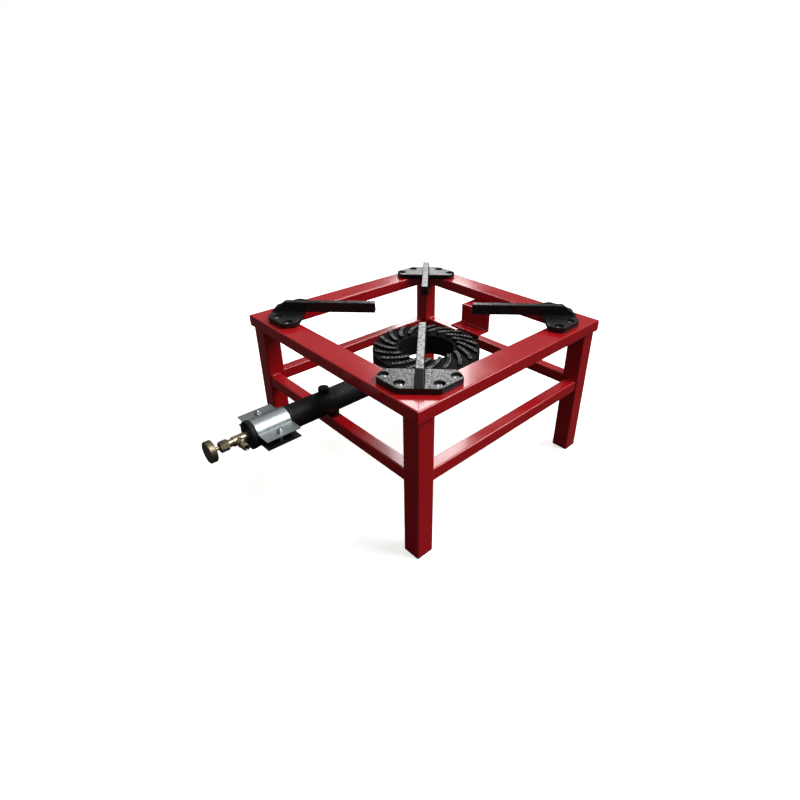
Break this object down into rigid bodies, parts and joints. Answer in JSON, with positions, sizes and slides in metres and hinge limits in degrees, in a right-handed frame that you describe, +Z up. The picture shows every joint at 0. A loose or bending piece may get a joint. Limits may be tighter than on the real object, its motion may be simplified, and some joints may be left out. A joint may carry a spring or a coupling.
{
  "type": "portable gas stove",
  "caption": "Square tube stand with cast pan supports, a cast-iron ring burner with swirl ribs, and a mixing tube with sliding air shutter and brass gas valve.",
  "frame": {"origin": "on the floor, under the middle of the whole stove's bounding box", "axes": "+Z up, +Y from the knob towards the back of the stand, +X to the side of the hose nozzle"},
  "size_m": [0.42, 0.603, 0.282],
  "materials": {
    "red_paint": "gloss paint",
    "black_cast_iron": "satin black, rough cast",
    "galvanised_sheet": "galvanised",
    "zinc_steel": "zinc plated",
    "brass": "dull",
    "black_plastic": "moulded",
    "packing": "matt"
  },
  "bodies": {
    "stand_and_burner": {"top_rail_front": "red_paint", "lower_rail_front": "red_paint", "top_rail_right": "red_paint", "lower_rail_right": "red_paint", "top_rail_back": "red_paint", "lower_rail_back": "red_paint", "top_rail_left": "red_paint", "lower_rail_left": "red_paint", "leg_front_right": "red_paint", "leg_plug_front_right": "black_plastic", "pan_support_front_right": "black_cast_iron", "leg_back_right": "red_paint", "leg_plug_back_right": "black_plastic", "pan_support_back_right": "black_cast_iron", "leg_back_left": "red_paint", "leg_plug_back_left": "black_plastic", "pan_support_back_left": "black_cast_iron", "leg_front_left": "red_paint", "leg_plug_front_left": "black_plastic", "pan_support_front_left": "black_cast_iron", "support_rivets": "zinc_steel", "rear_burner_bracket": "red_paint", "burner_head": "black_cast_iron", "burner_body": "black_cast_iron", "burner_head_screws": "zinc_steel", "burner_front_bolt": "zinc_steel", "burner_rear_bolt": "zinc_steel", "valve_body": "brass", "injector_jet": "brass", "hose_nozzle": "brass", "gland_nut": "brass", "gland_packing": "packing"},
    "air_shutter": {"shutter_upper_shell": "galvanised_sheet", "shutter_lower_shell": "galvanised_sheet", "shutter_bolts": "zinc_steel", "shutter_nuts": "zinc_steel"},
    "spindle": {"valve_spindle": "brass"},
    "knob": {"knob": "brass", "knob_screw": "zinc_steel"}
  },
  "joints": [
    {"name": "shutter_slide", "type": "slide", "parent": "stand_and_burner", "child": "air_shutter", "axis": [0, 1, 0], "range_m": [0, 0.028]},
    {"name": "spindle_lift", "type": "slide", "parent": "stand_and_burner", "child": "spindle", "axis": [0, -1, 0], "range_m": [0, 0.0015]},
    {"name": "knob_turn", "type": "hinge", "parent": "spindle", "child": "knob", "pos_m": [0, -0.29675, 0.1748], "axis": [0, -1, 0], "range_deg": [0, 540]}
  ],
  "couplings": [
    {"joint": "knob_turn", "follows": "spindle_lift", "rad_per_m": 6283.2}
  ]
}
